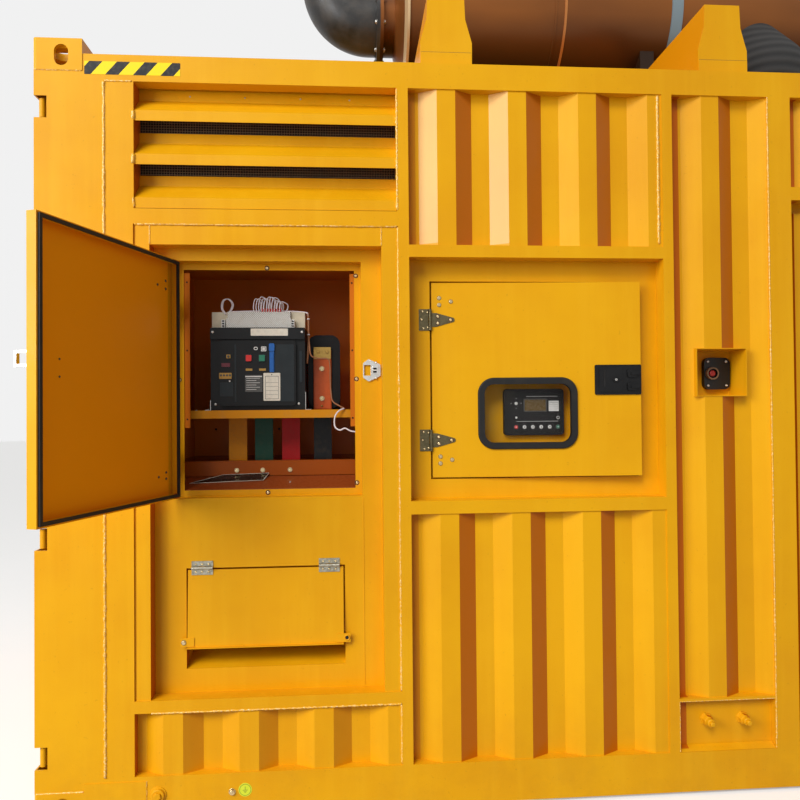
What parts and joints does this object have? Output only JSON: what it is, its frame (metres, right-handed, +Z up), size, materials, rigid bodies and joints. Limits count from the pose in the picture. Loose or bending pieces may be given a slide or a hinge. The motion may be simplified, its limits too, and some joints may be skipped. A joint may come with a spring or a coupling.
{
  "type": "containerized diesel generator",
  "caption": "Diesel generator in a corrugated steel shipping container, with roof silencer, open circuit breaker cabinet, cable outlet flap and glazed control door.",
  "frame": {"origin": "on the ground, midway between the four lower corner castings", "axes": "+X along the container from the cable end to the radiator end, -Y towards the control side, +Z up"},
  "size_m": [6.058, 3.066, 3.868],
  "materials": {
    "yellow_paint": "glossy industrial enamel over steel, dusty at the foot",
    "floor_steel": "dull black underseal",
    "mesh_steel": "galvanised, dull",
    "breaker_plastic": "moulded, fine grain",
    "sleeved_copper": "coloured sleeve over flat copper",
    "black_resin": "cast resin",
    "shelf_paint": "thin yellow enamel over folded steel, dull",
    "hinge_zinc": "yellow passivated zinc",
    "latch_chrome": "bright plated",
    "door_rubber": "soft black foam rubber",
    "window_pane": "clear, slightly tinted",
    "latch_black": "black powder coat",
    "controller_plastic": "moulded, dark blue-grey",
    "stop_plastic": "moulded black, red button",
    "silencer_steel": "dark heat-tinted steel, polished",
    "exhaust_black": "black heat-proof paint",
    "lagging": "black heat-proof wrap"
  },
  "bodies": {
    "container": {"corner_castings": "yellow_paint", "corner_posts": "yellow_paint", "top_rails": "yellow_paint", "bottom_rails": "yellow_paint", "floor_plate": "floor_steel", "floor_cross_members": "floor_steel", "roof_sheet": "yellow_paint", "side_posts": "yellow_paint", "side_bars": "yellow_paint", "side_sheets": "yellow_paint", "stop_bay_sheet": "yellow_paint", "side_louvres": "yellow_paint", "louvre_mesh": "mesh_steel", "radiator_louvre": "yellow_paint", "cabinet_surround": "yellow_paint", "cabinet_back_panel": "yellow_paint", "breaker_enclosure": "yellow_paint", "breaker_shelf": "shelf_paint", "circuit_breaker": "breaker_plastic", "busbars": "sleeved_copper", "neutral_transformer": "black_resin", "latch_keeper": "latch_chrome", "fixed_hinge_halves": "hinge_zinc", "control_frame": "yellow_paint", "controller": "controller_plastic", "stop_housing": "stop_plastic", "port_plate": "yellow_paint", "service_doors": "yellow_paint", "cargo_doors": "yellow_paint", "cargo_lock_rods": "yellow_paint", "cargo_hinges": "yellow_paint", "silencer_saddles": "yellow_paint", "silencer": "silencer_steel", "outlet_elbow": "exhaust_black", "inlet_pipe": "lagging"},
    "breaker_door": {"breaker_door": "yellow_paint", "breaker_door_gasket": "door_rubber", "breaker_door_hinges": "hinge_zinc"},
    "cable_flap": {"cable_flap": "yellow_paint", "cable_flap_hinges": "hinge_zinc"},
    "control_door": {"control_door": "yellow_paint", "window_seal": "door_rubber", "window_glass": "window_pane", "paddle_latch": "latch_black", "control_door_hinges": "hinge_zinc"}
  },
  "joints": [
    {"name": "breaker_door_hinge", "type": "hinge", "parent": "container", "child": "breaker_door", "pos_m": [-2.55, -1.1535, 1.6315], "axis": [0, 0, -1], "range_deg": [-109, 11]},
    {"name": "cable_flap_hinge", "type": "hinge", "parent": "container", "child": "cable_flap", "pos_m": [-2.195, -1.1535, 0.912], "axis": [-1, 0, 0], "range_deg": [-2.2, 95]},
    {"name": "control_door_hinge", "type": "hinge", "parent": "container", "child": "control_door", "pos_m": [-1.554, -1.1535, 1.624], "axis": [0, 0, -1], "range_deg": [-3, 107]}
  ]
}
